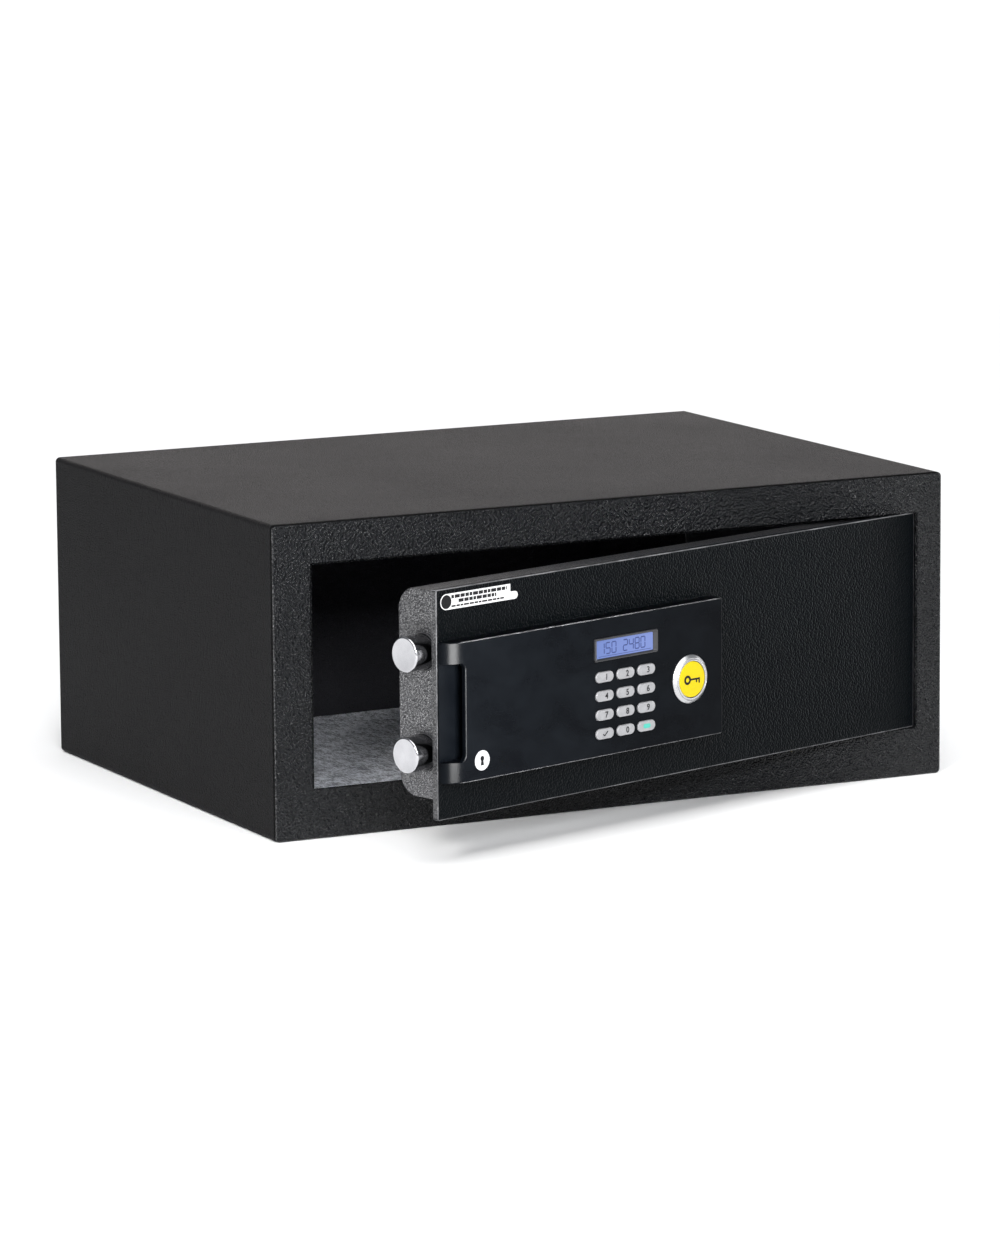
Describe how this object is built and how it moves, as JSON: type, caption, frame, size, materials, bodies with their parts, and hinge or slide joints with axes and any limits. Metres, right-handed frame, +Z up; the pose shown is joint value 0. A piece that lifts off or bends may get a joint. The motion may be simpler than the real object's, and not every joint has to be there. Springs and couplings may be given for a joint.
{
  "type": "in-room laptop safe",
  "caption": "Low steel in-room safe with a folded cabinet, right-hinged flush door, keypad panel with display, round sliding bolts, key override and felt-lined interior.",
  "frame": {"origin": "centre of the cabinet base footprint, on the surface the safe stands on", "axes": "+Z up; -Y is the front with the door; +X to the right seen from the front, on the hinge side"},
  "size_m": [0.48, 0.4851, 0.2],
  "materials": {
    "powder_black": "textured black powder coat",
    "powder_door": "fine black powder coat",
    "powder_pan": "textured dark grey powder coat",
    "zinc_steel": "zinc plated",
    "dark_steel": "blackened steel",
    "chromed_steel": "polished",
    "brass": "turned",
    "grey_felt": "needled felt",
    "black_abs": "satin gloss",
    "grey_abs": "satin",
    "nylon_black": "moulded",
    "key_grey": "painted keys",
    "lcd_blue": "backlit window",
    "module_white": "moulded",
    "silicone_grey": "silicone rubber",
    "board_green": "solder mask",
    "satin_ring": "satin",
    "cap_yellow": "printed",
    "motor_grey": "drawn can",
    "acetal_white": "acetal",
    "cell_jacket": "printed jacket",
    "button_red": "moulded",
    "label_white": "printed film"
  },
  "bodies": {
    "cabinet": {"body_shell": "powder_black", "back_panel": "powder_black", "front_frame": "powder_black", "stop_strip_left": "powder_black", "stop_strip_top": "powder_black", "floor_mat": "grey_felt", "hinge_bracket_top": "powder_black", "hinge_bracket_bottom": "powder_black", "hinge_bush_top": "brass", "hinge_bush_bottom": "brass"},
    "door": {"door_plate": "powder_door", "door_pan": "powder_pan", "hinge_block_top": "dark_steel", "hinge_block_bottom": "dark_steel", "hinge_pin_top": "zinc_steel", "hinge_pin_bottom": "zinc_steel", "fascia": "black_abs", "display_bezel": "grey_abs", "display_window": "lcd_blue", "display_module": "module_white", "keypad_membrane": "silicone_grey", "circuit_board": "board_green", "badge_ring": "satin_ring", "lock_cylinder": "brass", "cylinder_nut": "zinc_steel", "bolt_bush_upper": "nylon_black", "bolt_bush_lower": "nylon_black", "drive_motor": "motor_grey", "battery_tray": "black_abs", "battery_1": "cell_jacket", "battery_2": "cell_jacket", "battery_3": "cell_jacket", "battery_4": "cell_jacket", "pan_screw_1": "zinc_steel", "pan_screw_2": "zinc_steel", "pan_screw_3": "zinc_steel", "pan_screw_4": "zinc_steel", "warning_label": "label_white"},
    "bolt_carriage": {"bolt_upper": "chromed_steel", "bolt_lower": "chromed_steel", "bolt_bar": "zinc_steel"},
    "pinion": {"drive_pinion": "acetal_white"},
    "override_cover": {"override_cap": "cap_yellow"},
    "key_core": {"key_plug": "brass", "override_cam": "zinc_steel"},
    "battery_lid": {"battery_cover": "black_abs"},
    "reset": {"reset_button": "button_red"},
    "button_1": {"key_1": "key_grey"},
    "button_2": {"key_2": "key_grey"},
    "button_3": {"key_3": "key_grey"},
    "button_4": {"key_4": "key_grey"},
    "button_5": {"key_5": "key_grey"},
    "button_6": {"key_6": "key_grey"},
    "button_7": {"key_7": "key_grey"},
    "button_8": {"key_8": "key_grey"},
    "button_9": {"key_9": "key_grey"},
    "button_enter": {"key_enter": "key_grey"},
    "button_0": {"key_0": "key_grey"},
    "button_clear": {"key_clear": "key_grey"}
  },
  "joints": [
    {"name": "door_hinge", "type": "hinge", "parent": "cabinet", "child": "door", "pos_m": [0.21, -0.166, 0.1031], "axis": [0, 0, 1], "range_deg": [-17.8, 82.2]},
    {"name": "bolt_slide", "type": "slide", "parent": "door", "child": "bolt_carriage", "axis": [0.9521, 0.3057, 0], "range_m": [0, 0.015]},
    {"name": "pinion_spin", "type": "hinge", "parent": "door", "child": "pinion", "pos_m": [-0.11154, -0.24403, 0.111], "axis": [-0.3057, 0.9521, 0], "range_deg": [-115, 0.5]},
    {"name": "key_turn", "type": "hinge", "parent": "door", "child": "key_core", "pos_m": [0.00662, -0.2313, 0.0939], "axis": [-0.3057, 0.9521, 0], "range_deg": [0, 90]},
    {"name": "override_cover_pull", "type": "slide", "parent": "door", "child": "override_cover", "axis": [0.3057, -0.9521, 0], "range_m": [0, 0.008]},
    {"name": "battery_lid_lift", "type": "slide", "parent": "door", "child": "battery_lid", "axis": [-0.3057, 0.9521, 0], "range_m": [0, 0.02]},
    {"name": "reset_press", "type": "slide", "parent": "door", "child": "reset", "axis": [0.3057, -0.9521, 0], "range_m": [0, 0.0015], "stiffness_N_per_m": 600, "springref_m": -0.001},
    {"name": "press_1", "type": "slide", "parent": "door", "child": "button_1", "axis": [-0.3057, 0.9521, 0], "range_m": [0, 0.0008], "stiffness_N_per_m": 900, "springref_m": -0.0006},
    {"name": "press_2", "type": "slide", "parent": "door", "child": "button_2", "axis": [-0.3057, 0.9521, 0], "range_m": [0, 0.0008], "stiffness_N_per_m": 900, "springref_m": -0.0006},
    {"name": "press_3", "type": "slide", "parent": "door", "child": "button_3", "axis": [-0.3057, 0.9521, 0], "range_m": [0, 0.0008], "stiffness_N_per_m": 900, "springref_m": -0.0006},
    {"name": "press_4", "type": "slide", "parent": "door", "child": "button_4", "axis": [-0.3057, 0.9521, 0], "range_m": [0, 0.0008], "stiffness_N_per_m": 900, "springref_m": -0.0006},
    {"name": "press_5", "type": "slide", "parent": "door", "child": "button_5", "axis": [-0.3057, 0.9521, 0], "range_m": [0, 0.0008], "stiffness_N_per_m": 900, "springref_m": -0.0006},
    {"name": "press_6", "type": "slide", "parent": "door", "child": "button_6", "axis": [-0.3057, 0.9521, 0], "range_m": [0, 0.0008], "stiffness_N_per_m": 900, "springref_m": -0.0006},
    {"name": "press_7", "type": "slide", "parent": "door", "child": "button_7", "axis": [-0.3057, 0.9521, 0], "range_m": [0, 0.0008], "stiffness_N_per_m": 900, "springref_m": -0.0006},
    {"name": "press_8", "type": "slide", "parent": "door", "child": "button_8", "axis": [-0.3057, 0.9521, 0], "range_m": [0, 0.0008], "stiffness_N_per_m": 900, "springref_m": -0.0006},
    {"name": "press_9", "type": "slide", "parent": "door", "child": "button_9", "axis": [-0.3057, 0.9521, 0], "range_m": [0, 0.0008], "stiffness_N_per_m": 900, "springref_m": -0.0006},
    {"name": "press_enter", "type": "slide", "parent": "door", "child": "button_enter", "axis": [-0.3057, 0.9521, 0], "range_m": [0, 0.0008], "stiffness_N_per_m": 900, "springref_m": -0.0006},
    {"name": "press_0", "type": "slide", "parent": "door", "child": "button_0", "axis": [-0.3057, 0.9521, 0], "range_m": [0, 0.0008], "stiffness_N_per_m": 900, "springref_m": -0.0006},
    {"name": "press_clear", "type": "slide", "parent": "door", "child": "button_clear", "axis": [-0.3057, 0.9521, 0], "range_m": [0, 0.0008], "stiffness_N_per_m": 900, "springref_m": -0.0006}
  ],
  "couplings": [
    {"joint": "pinion_spin", "follows": "bolt_slide", "rad_per_m": -133.33}
  ]
}
